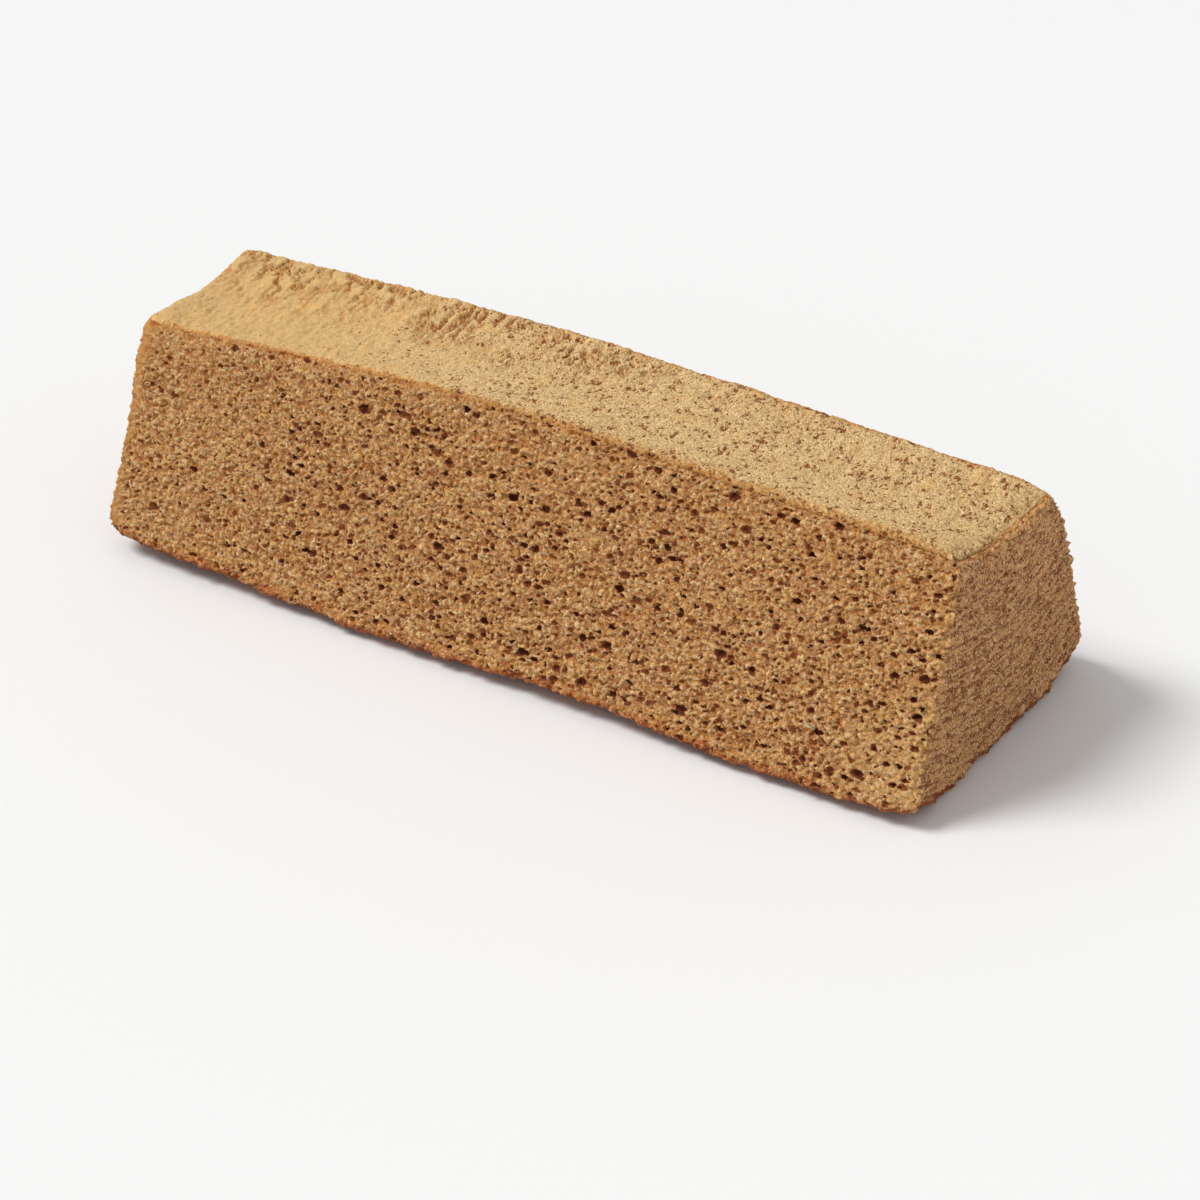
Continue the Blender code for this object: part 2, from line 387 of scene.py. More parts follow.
def skin_group(kind, bubbles, kneaded):
    """Thin skin that lay on the rod: fine pits, and wrinkles across the bar towards its back edge."""
    tree, start, end = new_group(
        "thin_skin", kind, SURFACE_INPUTS,
        (("Height", "Float"), ("Pore", "Float"), ("Wrinkle", "Float"), ("Smooth", "Float")),
    )
    place, outward = start.outputs["Place"], start.outputs["Outward"]
    uneven = grouped(tree, kneaded, {"Place": place, "Amount": 1.0}).outputs["Place"]
    x, y, _ = xyz(tree, place)
    rough = ramped(tree, y, -5.0, 9.0)
    patch = ramped(tree, noise(tree, place, 0.10, 2.0), 0.38, 0.60)
    rough = product(tree, rough, scaled(tree, patch, 0.65, 0.35))
    smooth = ramped(tree, x, -55.0, 0.0, 1.0, 0.0)
    patches = noise(tree, place, 0.33, 2.0)
    crowd = ramped(tree, patches, 0.38, 0.66, 0.15, 1.3, False)
    crowd = product(tree, crowd, less(tree, 1.0, smooth))
    depth, _ = deepest(tree, bubbles, uneven, outward, SKIN_PORES, crowd)
    torn = noise(tree, vectors(tree, "MULTIPLY", uneven, (1.0, 0.55, 1.0)), 0.95, 3.0, 0.65)
    torn = scaled(tree, patches, -0.30, total(tree, torn, 0.15))
    torn = scaled(tree, smooth, 0.1, torn)
    torn = ramped(tree, torn, 0.40, 0.32, 0.0, 0.45)
    depth = maths(tree, "MAXIMUM", depth, torn)

    drawn_out = vectors(tree, "MULTIPLY", uneven, (1.0, 0.42, 1.0))
    fold = noise(tree, vectors(tree, "MULTIPLY", uneven, (1.0, 0.28, 1.0)), 0.46, 3.0, 0.6)
    leftward = ramped(tree, x, 25.0, -20.0, 0.3, 1.0)
    crease = maths(tree, "ABSOLUTE", less(tree, fold, 0.49))
    wrinkle = product(tree, ramped(tree, crease, 0.0, 0.075, 1.0, 0.0), rough, leftward)
    grain = noise(tree, drawn_out, 2.2, 3.0, 0.65)
    dents = swing(tree, drawn_out, 1.05, 2.0, 0.55)
    ridged = vectors(tree, "MULTIPLY", place, (1.0, 0.25, 1.0))
    lumps = swing(tree, ridged, 0.55, 2.0)
    height = product(tree, less(tree, grain, 0.5), scaled(tree, smooth, -0.42, 0.58))
    dented = product(tree, scaled(tree, smooth, 0.9, 0.5), scaled(tree, rough, -0.6, 1.0))
    height = scaled(tree, dents, dented, height)
    height = scaled(tree, maths(tree, "MINIMUM", depth, 0.22), -1.0, height)
    height = scaled(tree, wrinkle, -1.0, height)
    height = scaled(tree, lumps, scaled(tree, rough, 0.8, 0.4), height)
    height = total(tree, height, 0.12)
    plug(tree, end, {"Height": height, "Pore": depth, "Wrinkle": wrinkle, "Smooth": smooth})
    return tree


def crust_group(kind, bubbles, kneaded):
    """Browned crust: soft bumps and shallow pits."""
    tree, start, end = new_group(
        "brown_crust", kind, SURFACE_INPUTS,
        (("Height", "Float"), ("Pore", "Float"), ("Grain", "Float")),
    )
    place, outward = start.outputs["Place"], start.outputs["Outward"]
    uneven = grouped(tree, kneaded, {"Place": place, "Amount": 0.6}).outputs["Place"]
    depth, opening = deepest(tree, bubbles, uneven, outward, SKIN_PORES)
    grain = noise(tree, uneven, 1.1, 4.0, 0.6)
    height = scaled(tree, less(tree, grain, 0.5), 0.5,
                    product(tree, maths(tree, "MINIMUM", depth, 0.25), -0.7))
    plug(tree, end, {"Height": height, "Pore": opening, "Grain": grain})
    return tree


def crowding(tree, place, to_end, to_skin):
    """How crowded the pores of a long cut are: fewer at its rims, hardly any at the smooth left one."""
    along, _, _ = xyz(tree, place)
    left = product(tree, ramped(tree, along, *LEFT_RIM), ramped(tree, to_end, 0.8, 3.5, 0.85, 0.0))
    rim = maths(tree, "MAXIMUM", left, ramped(tree, to_skin, 0.0, 1.0, 0.2, 0.0))
    return less(tree, 1.0, rim)


def make_fields(kind):
    """The fields of all surfaces, as groups for one kind of node tree."""
    bubbles, kneaded, ring = bubble_group(kind), kneaded_group(kind), ring_group(kind)
    return {
        "cut": cut_group(kind, bubbles, kneaded),
        "end": end_group(kind, bubbles, kneaded, ring),
        "skin": skin_group(kind, bubbles, kneaded),
        "crust": crust_group(kind, bubbles, kneaded),
    }


# -------------------- shape


def only(piece):
    """Selects this object and nothing else, and makes it the active one."""
    bpy.ops.object.select_all(action="DESELECT")
    piece.select_set(True)
    bpy.context.view_layer.objects.active = piece


def apply_modifier(piece, kind, name, **settings):
    """Puts a modifier on a piece and applies it."""
    only(piece)
    modifier = piece.modifiers.new(name, kind)
    for key, value in settings.items():
        setattr(modifier, key, value)
    bpy.ops.object.modifier_apply(modifier=modifier.name)


def raw_bar():
    """A fine, even mesh over a merged copy of the CAD bar."""
    only(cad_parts[NODE])
    bpy.ops.object.duplicate()
    bar = bpy.context.object
    bar.name = "bar"
    bar.parent = None
    bar.data = bar.data.copy()
    for key in list(bar.keys()):
        del bar[key]
    bpy.ops.object.mode_set(mode="EDIT")
    bpy.ops.mesh.select_all(action="SELECT")
    bpy.ops.mesh.remove_doubles(threshold=1e-6)
    bpy.ops.object.mode_set(mode="OBJECT")
    apply_modifier(bar, "REMESH", "even", mode="VOXEL", voxel_size=CRUMB_FACE)
    apply_modifier(bar, "SMOOTH", "calm", factor=0.5, iterations=4)
    return bar


def kept(tree, geometry, label, value, kind="FLOAT", domain="POINT"):
    """Keeps a value on the mesh under a name that materials can read."""
    node = wire(tree, "GeometryNodeStoreNamedAttribute", data_type=kind, domain=domain)
    plug(tree, node, {"Geometry": geometry, "Name": label, "Value": value})
    return node.outputs["Geometry"]


def recall(tree, label, kind="FLOAT"):
    """A value that was kept on the mesh."""
    node = wire(tree, "GeometryNodeInputNamedAttribute", {"Name": label}, data_type=kind)
    return node.outputs["Attribute"]


def worn_strip(tree, place, x, y):
    """Where the skin is rubbed off along its rim: widest at the front, towards the right end."""
    reach = product(tree, ramped(tree, x, -40.0, 45.0, 0.2, 1.9), ramped(tree, y, *FRONT_EDGE, 0.35, 1.0))
    far = maths(tree, "DIVIDE", recall(tree, "to_skin"), total(tree, reach, 0.3))
    grit = swing(tree, place, 0.85, 3.0, 0.65)
    far = scaled(tree, grit, 3.2, far)
    return product(tree, ramped(tree, far, 1.15, 0.75), ramped(tree, recall(tree, "to_end"), 0.8, 2.6))


def rim_distance(tree, geometry, mask):
    """Distance in mm from every point to the border of a region whose mask runs from 0 to 1."""
    on_rim = product(tree, maths(tree, "GREATER_THAN", mask, 0.35), maths(tree, "LESS_THAN", mask, 0.65))
    points = wire(tree, "GeometryNodeMeshToPoints", {"Mesh": geometry, "Selection": on_rim})
    near = wire(tree, "GeometryNodeProximity", {0: points.outputs[0]}, target_element="POINTS")
    return maths(tree, "DIVIDE", near.outputs["Distance"], MM)


FRONT, BACK, LEFT, RIGHT, SKIN, CRUST = range(6)
NAMES = {FRONT: "front_cut", BACK: "back_cut", LEFT: "left_cut", RIGHT: "right_cut",
         SKIN: "inner_skin", CRUST: "outer_crust"}

# A patch of fewer faces than this is a speck that its surroundings take over, and so many times the
# borders are gone over.
SMALLEST_PATCH = 400
BORDER_ROUNDS = 12


def region_tree():
    """Marks which surface of the bar each face belongs to, and keeps the unshaped places."""
    tree, start, end = new_shaper("regions")
    geometry = start.outputs["Geometry"]
    position = wire(tree, "GeometryNodeInputPosition").outputs[0]
    normal = wire(tree, "GeometryNodeInputNormal").outputs[0]
    calm = wire(tree, "GeometryNodeBlurAttribute", {"Iterations": NORMAL_ROUNDS}, data_type="FLOAT_VECTOR")
    tree.links.new(normal, [s for s in calm.inputs if s.name == "Value" and s.enabled][0])
    calm_normal = vectors(tree, "NORMALIZE", [s for s in calm.outputs if s.enabled][0])
    geometry = kept(tree, geometry, "place", stretched(tree, position, 1 / MM), "FLOAT_VECTOR")
    geometry = kept(tree, geometry, "outward", calm_normal, "FLOAT_VECTOR")

    place = recall(tree, "place", "FLOAT_VECTOR")
    facing = xyz(tree, recall(tree, "outward", "FLOAT_VECTOR"))
    x, y, _ = xyz(tree, place)
    stray = swing(tree, place, 0.9, 3.0, 0.6)
    upward = scaled(tree, stray, 0.24, facing[2])
    along, across, up = (maths(tree, "ABSOLUTE", part) for part in facing)
    sideways = scaled(tree, up, -0.4, less(tree, along, across))
    sideways = scaled(tree, stray, 0.22, sideways)
    masks = {
        "skin": ramped(tree, upward, 0.70, 0.92, smooth=False),
        "crust": ramped(tree, upward, -0.08, -0.5, smooth=False),
        "end": ramped(tree, sideways, -0.2, 0.2, smooth=False),
    }
    for label, mask in masks.items():
        geometry = kept(tree, geometry, label, mask)
    for label in masks:
        geometry = kept(tree, geometry, "to_" + label, rim_distance(tree, geometry, recall(tree, label)))

    geometry = kept(tree, geometry, "worn", worn_strip(tree, place, x, y))

    is_back = maths(tree, "GREATER_THAN", y, 0.0)
    is_right = maths(tree, "GREATER_THAN", x, 0.0)
    region = total(tree, FRONT, is_back)
    tests = (
        (maths(tree, "GREATER_THAN", recall(tree, "skin"), 0.5), SKIN),
        (maths(tree, "GREATER_THAN", recall(tree, "crust"), 0.5), CRUST),
        (maths(tree, "GREATER_THAN", recall(tree, "end"), 0.5), total(tree, LEFT, is_right)),
    )
    for test, value in tests:
        region = scaled(tree, less(tree, value, region), test, region)
    geometry = kept(tree, geometry, "region", region, "INT", "FACE")
    plug(tree, end, {"Geometry": geometry})
    return tree


def read_out(items, name, kind=np.int32, width=1):
    """One property of a mesh's vertices, edges, faces or corners as an array."""
    values = np.empty(len(items) * width, kind)
    items.foreach_get(name, values)
    return values if width == 1 else values.reshape(-1, width)


def patch_numbers(faces, joined):
    """A number for every face, which the faces of one connected patch share."""
    number = np.arange(faces)
    while True:
        lower = np.minimum(number[joined[:, 0]], number[joined[:, 1]])
        following = number.copy()
        for side in (0, 1):
            np.minimum.at(following, number[joined[:, side]], lower)
        while (following[following] != following).any():
            following = following[following]
        if (following == number).all():
            return number
        number = following


def clean_borders(bar):
    """Takes specks out of the regions, and corners at which a region only just touches itself."""
    data = bar.data
    region = read_out(data.attributes["region"].data, "value")
    corner_vertex = read_out(data.loops, "vertex_index")
    corner_face = np.repeat(np.arange(len(region)), read_out(data.polygons, "loop_total"))
    by_edge = np.argsort(read_out(data.loops, "edge_index"), kind="stable")
    pairs = corner_face[by_edge].reshape(-1, 2)
    ends = read_out(data.edges, "vertices", width=2)

    for _ in range(BORDER_ROUNDS):
        # A speck joins the region that it lies in.
        sides = region[pairs]
        border = sides[:, 0] != sides[:, 1]
        number = patch_numbers(len(region), pairs[~border])
        speck = np.bincount(number, minlength=len(region))[number] < SMALLEST_PATCH
        around = np.full(len(region), -1)
        for one, other in ((0, 1), (1, 0)):
            inward = border & speck[pairs[:, one]] & ~speck[pairs[:, other]]
            around[number[pairs[inward, one]]] = sides[inward, other]
        found = speck & (around[number] >= 0)
        region[found] = around[number[found]]

        # Where a region touches itself at a single vertex, it takes all the faces there.
        sides = region[pairs]
        border = sides[:, 0] != sides[:, 1]
        touches = [ends[border, end] * len(NAMES) + sides[border, side] for end in (0, 1) for side in (0, 1)]
        keys, amounts = np.unique(np.concatenate(touches), return_counts=True)
        pinched = keys[amounts > 2]
        if not found.any() and not len(pinched):
            break
        wanted = np.full(len(data.vertices), -1)
        wanted[pinched // len(NAMES)] = pinched % len(NAMES)
        chosen = wanted[corner_vertex] >= 0
        region[corner_face[chosen]] = wanted[corner_vertex[chosen]]
    data.attributes["region"].data.foreach_set("value", region)


def by_rim(tree, distance, reach, most=1.0, smooth=True):
    """From most at a rim down to nothing at reach mm from it."""
    return ramped(tree, distance, 0.0, reach, most, 0.0, smooth)


def surface_relief(tree, fields, place, outward, calm):
    """Relief of the crumb, the skin and the crust, each where its surface is."""
    skin, crust, at_end = (recall(tree, label) for label in ("skin", "crust", "end"))
    on_cut = maths(tree, "SUBTRACT", maths(tree, "SUBTRACT", 1.0, skin), crust, clamp=True)
    on_end = product(tree, on_cut, at_end)
    worn_skin = product(tree, skin, recall(tree, "worn"))
    skin = less(tree, skin, worn_skin)
    on_cut = total(tree, less(tree, on_cut, on_end), worn_skin)
    crowd = crowding(tree, place, recall(tree, "to_end"), recall(tree, "to_skin"))
    shares = {"cut": (on_cut, calm), "end": (on_end,), "skin": (skin,), "crust": (crust,)}
    parts = []
    for label, factors in shares.items():
        field = grouped(tree, fields[label], {"Place": place, "Outward": outward})
        if label == "cut":
            plug(tree, field, {"Crowd": crowd})
        if label == "end":
            step = field.outputs["Step"]
        parts.append(product(tree, field.outputs["Height"], *factors))
    return total(tree, *parts), step, on_cut, skin


def relief_tree(fields):
    """Opens the pores, raises the crumb's grain, wrinkles the skin and frays and wears the edges."""
    tree, start, end = new_shaper("relief")
    place = recall(tree, "place", "FLOAT_VECTOR")
    outward = recall(tree, "outward", "FLOAT_VECTOR")
    to_skin, to_end, to_crust = (recall(tree, "to_" + label) for label in ("skin", "end", "crust"))
    x, y, z = xyz(tree, place)

    # The crumb is calm next to the skin's rim, apart from the ragged front rim away from the left end.
    ragged_rim = product(tree, ramped(tree, y, 4.0, -4.0), ramped(tree, x, -45.0, 0.0))
    calm = maths(tree, "MAXIMUM", ramped(tree, to_skin, 0.3, 3.5, 0.3, 1.0), ragged_rim)
    surfaces, step, on_cut, skin = surface_relief(tree, fields, place, outward, calm)

    # Crumbs that stand out or are lost along every rim, fewer at the handled left end.
    leftmost = ramped(tree, x, *LEFT_TIP)
    nearest = maths(tree, "MINIMUM", maths(tree, "MINIMUM", to_skin, to_end), to_crust)
    fray = product(tree, swing(tree, place, 0.7, 2.5, 0.6),
                   by_rim(tree, nearest, 2.2), scaled(tree, skin, -0.7, 1.6),
                   scaled(tree, leftmost, -0.6, 1.0), calm)
    ragged_crust = product(tree, swing(tree, place, 0.38, 2.0, 0.6), by_rim(tree, to_crust, 2.5, 1.8))

    # The layers stand out like teeth where the back cut meets the right end.
    tooth = product(tree, step, by_rim(tree, to_end, 2.4, 1.2), on_cut, ramped(tree, x, *RIGHT_TIP),
                    ramped(tree, y, -6.0, 4.0))

    # The bar as a whole swells and sinks a little, and its left end bulges under the front corner.
    swell = product(tree, swing(tree, place, 0.13, 2.0), 0.9)
    waist = maths(tree, "ABSOLUTE", less(tree, z, 31.0))
    bulge = product(tree, leftmost, by_rim(tree, waist, 11.0, 1.2), ramped(tree, y, 6.0, -8.0))

    # Top corners: full at the left end and worn at the right, as is the front rim of the skin.
    corner = product(tree, by_rim(tree, to_end, 4.5), by_rim(tree, to_skin, 4.5),
                     ramped(tree, x, -20.0, -60.0, -0.35, 0.6))
    worn_corner = product(tree, by_rim(tree, to_end, 3.0), by_rim(tree, to_skin, 3.0),
                          ramped(tree, x, *RIGHT_RIM), -0.35)
    worn_rim = product(tree, maths(tree, "POWER", by_rim(tree, to_skin, 4.5, smooth=False), 2.0),
                       ramped(tree, x, -25.0, 50.0), ramped(tree, y, *FRONT_EDGE), -0.9)

    height = total(tree, surfaces, fray, ragged_crust, tooth, swell, bulge, corner, worn_corner, worn_rim)
    offset = stretched(tree, outward, product(tree, height, MM))
    moved = wire(tree, "GeometryNodeSetPosition", {"Geometry": start.outputs[0], "Offset": offset})
    plug(tree, end, {"Geometry": moved.outputs["Geometry"]})
    return tree


def run_nodes(piece, tree):
    """Puts a node tree on a piece as a modifier and applies it."""
    only(piece)
    modifier = piece.modifiers.new(tree.name, "NODES")
    modifier.node_group = tree
    bpy.ops.object.modifier_apply(modifier=modifier.name)


# -------------------- materials


def linear(red, green, blue):
    """An sRGB colour, 0 to 255, as the linear one that sockets take."""
    levels = []
    for level in (red, green, blue):
        share = level / 255
        levels.append(share / 12.92 if share <= 0.04045 else ((share + 0.055) / 1.055) ** 2.4)
    return (*levels, 1.0)


# The crumb: a painted highlight for its raised grain, its body, painted shade for its small hollows and its
# pores, and tints in patches.
HIGHLIGHT_CREAM = linear(255, 235, 188)
CRUMB_TAN = linear(254, 206, 136)
CRUMB_BROWN = linear(220, 154, 84)
HOLLOW_SHADE_BROWN = linear(186, 108, 40)
PIT_SHADE_BROWN = linear(142, 68, 24)
PORE_SHADE_BROWN = linear(94, 40, 17)
CRUMB_GOLD = linear(248, 190, 94)
CRUMB_MAUVE = linear(208, 148, 104)
# The crumb's browned edges.
EDGE_GOLD = linear(244, 182, 100)
EDGE_ORANGE = linear(232, 154, 76)
EDGE_RUST = linear(176, 96, 42)
EDGE_BURNT = linear(196, 108, 42)
CORNER_GOLD = linear(250, 200, 128)
RIM_TAN = linear(208, 144, 74)
# The crust, the inner skin with painted shade for its folds and pits, and the end cuts.
CRUST_BROWN = linear(150, 78, 42)
CRUST_DARK = linear(98, 44, 22)
SKIN_TAN = linear(204, 167, 109)
SKIN_PALE = linear(254, 218, 160)
SKIN_GOLD = linear(238, 186, 112)
FOLD_SHADE_ORANGE = linear(178, 115, 60)
PIT_SHADE_RED = linear(150, 72, 28)
END_TAN = linear(228, 165, 106)
END_PALE = linear(255, 214, 158)
END_BROWN = linear(150, 88, 50)

CRUMB_ROUGHNESS = 0.85
CRUST_ROUGHNESS = 0.62
SHINE = 0.25


def attribute(tree, label, output="Fac"):
    """A value that was kept on the mesh, in a material."""
    return wire(tree, "ShaderNodeAttribute", attribute_name=label).outputs[output]


def new_material(label):
    """A material, its node tree and its shader."""
    material = bpy.data.materials.new(label)
    material.use_nodes = True
    tree = material.node_tree
    return material, tree, tree.nodes["Principled BSDF"]


def blended(tree, factor, first, second):
    """The first colour, going over into the second."""
    node = wire(tree, "ShaderNodeMix", data_type="RGBA")
    for name, value in (("Factor", factor), ("A", first), ("B", second)):
        socket = [s for s in node.inputs if s.name == name and s.enabled][0]
        if isinstance(value, bpy.types.NodeSocket):
            tree.links.new(value, socket)
        else:
            socket.default_value = value
    return [s for s in node.outputs if s.enabled][0]


def finish_material(tree, shader, colour, height, roughness=CRUMB_ROUGHNESS):
    """Colour and bump into the shader; heights are in mm."""
    bump = wire(tree, "ShaderNodeBump", {"Height": height, "Distance": MM, "Strength": 1.0})
    plug(tree, shader, {"Base Color": colour, "Roughness": roughness, "Normal": bump.outputs["Normal"]})
    shader.inputs["Specular IOR Level"].default_value = SHINE


def tinted_edges(tree, colour, place, edges):
    """Lays browned colours along the rims: (attribute, colour, full width, fading width, strength)."""
    stray = swing(tree, place, 0.8, 4.0, 0.7)
    patchy = swing(tree, place, 0.25, 4.0, 0.65)
    broken = ramped(tree, noise(tree, place, 0.28, 3.0, 0.6), 0.36, 0.6, 0.25, 1.0)
    for label, tint, full, fading, strength in edges:
        wander = product(tree, stray, fading * 1.4)
        if label == "to_crust":
            wander = scaled(tree, patchy, fading * 3.0, wander)
        near = total(tree, attribute(tree, label), wander)
        share = ramped(tree, near, full, fading, strength, 0.0)
        if label != "to_crust":
            share = product(tree, share, broken)
        colour = blended(tree, share, colour, tint)
    return colour


def crumb_group(fields):
    """Look of open crumb without its pores (with painted shade in its gaps and hollows), where to paint
    highlights, how much of a pore is there, and the finest relief in mm.
    """
    tree, start, end = new_group(
        "crumb_look", "ShaderNodeTree", (*SURFACE_INPUTS, ("Crowd", "Float", 1.0)),
        (("Colour", "Color"), ("Speck", "Float"), ("Pore", "Float"), ("Relief", "Float")),
    )
    place = start.outputs["Place"]
    field = grouped(tree, fields["cut"], {
        "Place": place, "Outward": start.outputs["Outward"], "Crowd": start.outputs["Crowd"],
    })
    hollow = field.outputs["Hollow"]
    fine = noise(tree, place, 3.9, 2.0, 0.8)
    hue = noise(tree, place, 0.5, 3.0, 0.6)
    # Paler on raised grain and browner on low grain: painted light and shade, over the crumb's own mottle.
    colour = blended(tree, ramped(tree, field.outputs["Grain"], 0.36, 0.56), CRUMB_BROWN, CRUMB_TAN)
    colour = blended(tree, ramped(tree, hue, 0.5, 0.66, 0.0, 0.3), colour, CRUMB_GOLD)
    colour = blended(tree, ramped(tree, hue, 0.52, 0.36, 0.0, 0.65), colour, CRUMB_MAUVE)
    cloud = noise(tree, place, 0.16, 3.0, 0.6)
    colour = blended(tree, ramped(tree, cloud, 0.52, 0.34, 0.0, 0.45), colour, CRUMB_BROWN)
    # Browner in the low fine grain, in the gaps between crumbs and in the small hollows: painted shade in the
    # recesses.
    colour = blended(tree, ramped(tree, fine, 0.47, 0.36, 0.0, 0.7), colour, HOLLOW_SHADE_BROWN)
    colour = blended(tree, ramped(tree, field.outputs["Gap"], 0.55, 1.0, 0.0, 0.7), colour, HOLLOW_SHADE_BROWN)
    colour = blended(tree, ramped(tree, hollow, 0.06, 0.34, 0.0, 0.65), colour, HOLLOW_SHADE_BROWN)
    relief = scaled(tree, fine, 0.55, product(tree, hollow, -0.5))
    relief = scaled(tree, field.outputs["Gap"], -0.25, relief)
    # Where a highlight is painted: on the raised grain and the finest bumps.
    speck = maths(tree, "MAXIMUM", ramped(tree, field.outputs["Grain"], 0.55, 0.68, 0.0, 0.8),
                  ramped(tree, fine, 0.53, 0.65, 0.0, 0.5))
    plug(tree, end, {"Colour": colour, "Speck": speck, "Pore": field.outputs["Pore"], "Relief": relief})
    return tree


def with_pores(tree, colour, crumb):
    """Paints highlights on the crumb's raised grain, and paints shade into its pores by their depth in mm."""
    pore = crumb.outputs["Pore"]
    # Painted highlight: cream on the raised grain, less of it next to the skin and the crust.
    clear = maths(tree, "MINIMUM", attribute(tree, "to_skin"), attribute(tree, "to_crust"))
    speck = product(tree, crumb.outputs["Speck"], ramped(tree, clear, 0.1, 0.9, 0.45, 1.0))
    colour = blended(tree, speck, colour, HIGHLIGHT_CREAM)
    # Painted shade in the pores: browner with depth, darkest in the deepest.
    colour = blended(tree, ramped(tree, pore, 0.02, 0.15, 0.0, 0.9), colour, PIT_SHADE_BROWN)
    return blended(tree, ramped(tree, pore, 0.22, 0.65, 0.0, 0.9), colour, PORE_SHADE_BROWN)


def crumb_here(tree, look):
    """The crumb's look at the place being shaded."""
    place = attribute(tree, "place", "Vector")
    crowd = crowding(tree, place, attribute(tree, "to_end"), attribute(tree, "to_skin"))
    inputs = {"Place": place, "Outward": attribute(tree, "outward", "Vector"), "Crowd": crowd}
    return grouped(tree, look, inputs)


def cut_material(look):
    """Open crumb, browned along its rims and stained under the skin, with painted highlights on its grain and
    painted shade in its pores.
    """
    material, tree, shader = new_material("open_crumb")
    place = attribute(tree, "place", "Vector")
    crumb = crumb_here(tree, look)
    along, _, low = xyz(tree, place)
    colour = tinted_edges(tree, crumb.outputs["Colour"], place, (
        ("to_end", EDGE_GOLD, 0.4, 2.6, 0.7),
        ("to_skin", EDGE_ORANGE, 0.0, 1.1, 0.5),
        ("to_crust", EDGE_GOLD, 0.3, 3.4, 0.6),
        ("to_crust", EDGE_BURNT, 0.5, 2.2, 0.95),
        ("to_crust", CRUST_BROWN, 0.0, 0.4, 0.85),
    ))
    corner = product(tree, ramped(tree, low, 26.0, 8.0), ramped(tree, along, 58.0, 72.0, 0.0, 0.4))
    colour = blended(tree, corner, colour, CORNER_GOLD)
    colour = blended(tree, ramped(tree, low, 20.0, 36.0, 0.0, 0.15), colour, CRUMB_BROWN)
    colour = with_pores(tree, colour, crumb)
    smooth_rim = product(tree, ramped(tree, along, *LEFT_RIM),
                         ramped(tree, attribute(tree, "to_end"), 0.5, 2.8, 0.75, 0.0))
    colour = blended(tree, smooth_rim, colour, RIM_TAN)
    stain = scaled(tree, noise(tree, place, 0.5, 3.0, 0.65), 3.0, attribute(tree, "to_skin"))
    stain = product(tree, ramped(tree, stain, 1.3, 2.2, 0.8, 0.0),
                    ramped(tree, noise(tree, place, 0.2, 2.0), 0.4, 0.56, 0.1, 1.0),
                    ramped(tree, along, 10.0, -25.0, 0.3, 1.0))
    colour = blended(tree, stain, colour, EDGE_RUST)
    finish_material(tree, shader, colour, crumb.outputs["Relief"])
    return material


def end_material(fields):
    """Close crumb with faint baked layers."""
    material, tree, shader = new_material("close_crumb")
    place = attribute(tree, "place", "Vector")
    field = grouped(tree, fields["end"], {"Place": place, "Outward": attribute(tree, "outward", "Vector")})
    fine = noise(tree, place, 2.8, 3.0, 0.75)
    colour = blended(tree, ramped(tree, field.outputs["Grain"], 0.40, 0.54), END_BROWN, END_TAN)
    colour = blended(tree, ramped(tree, fine, 0.48, 0.38, 0.0, 0.7), colour, END_BROWN)
    colour = blended(tree, ramped(tree, fine, 0.5, 0.62), colour, END_PALE)
    colour = blended(tree, product(tree, field.outputs["Layer"], 0.8), colour, END_BROWN)
    # Painted shade in the end's pores, deeper ones darker.
    colour = blended(tree, ramped(tree, field.outputs["Pore"], 0.05, 0.4, 0.0, 0.75), colour, PIT_SHADE_RED)
    colour = tinted_edges(tree, colour, place, (
        ("to_end", EDGE_GOLD, 0.1, 1.2, 0.4),
        ("to_skin", EDGE_GOLD, 0.3, 2.6, 0.4),
        ("to_crust", CRUST_BROWN, 0.1, 0.9, 0.95),
    ))
    relief = scaled(tree, fine, 0.5, product(tree, field.outputs["Pore"], -0.35))
    relief = scaled(tree, field.outputs["Grain"], 0.4, relief)
    finish_material(tree, shader, colour, relief)
    return material


def skin_material(fields, look):
    """Pale pitted skin with painted shade in its orange folds and red pits, rubbed down to the crumb along
    its rim.
    """
    material, tree, shader = new_material("inner_skin")
    place = attribute(tree, "place", "Vector")
    field = grouped(tree, fields["skin"], {"Place": place, "Outward": attribute(tree, "outward", "Vector")})
    fine = noise(tree, vectors(tree, "MULTIPLY", place, (1.0, 0.6, 1.0)), 3.6, 2.0, 0.75)
    smooth = field.outputs["Smooth"]
    pale = scaled(tree, less(tree, ramped(tree, fine, 0.42, 0.6), 0.55),
                  scaled(tree, smooth, -0.7, 1.0),
                  scaled(tree, smooth, -0.46, 0.55))
    colour = blended(tree, pale, SKIN_TAN, SKIN_PALE)
    patch = ramped(tree, noise(tree, place, 0.3, 3.0), 0.5, 0.72, 0.0, 0.4)
    colour = blended(tree, patch, colour, SKIN_GOLD)
    # Painted shade in the skin's folds.
    colour = blended(tree, ramped(tree, field.outputs["Wrinkle"], 0.0, 0.8, 0.0, 0.85), colour, FOLD_SHADE_ORANGE)
    # Painted shade in the skin's pits, deeper ones darker.
    colour = blended(tree, ramped(tree, field.outputs["Pore"], 0.0, 0.22, 0.0, 0.9), colour, PIT_SHADE_RED)
    worn = attribute(tree, "worn")
    crumb = crumb_here(tree, look)
    golden = with_pores(tree, blended(tree, 0.6, crumb.outputs["Colour"], EDGE_GOLD), crumb)
    colour = blended(tree, worn, colour, golden)
    long_rim = ramped(tree, attribute(tree, "to_end"), 1.0, 4.0, 0.0, 0.35)
    colour = tinted_edges(tree, colour, place, (("to_skin", EDGE_ORANGE, 0.0, 1.1, long_rim),))
    relief = product(tree, fine, scaled(tree, smooth, -0.38, 0.5))
    relief = scaled(tree, field.outputs["Pore"], -0.3, relief)
    relief = product(tree, relief, less(tree, 1.0, worn))
    relief = scaled(tree, crumb.outputs["Relief"], worn, relief)
    finish_material(tree, shader, colour, relief)
    return material


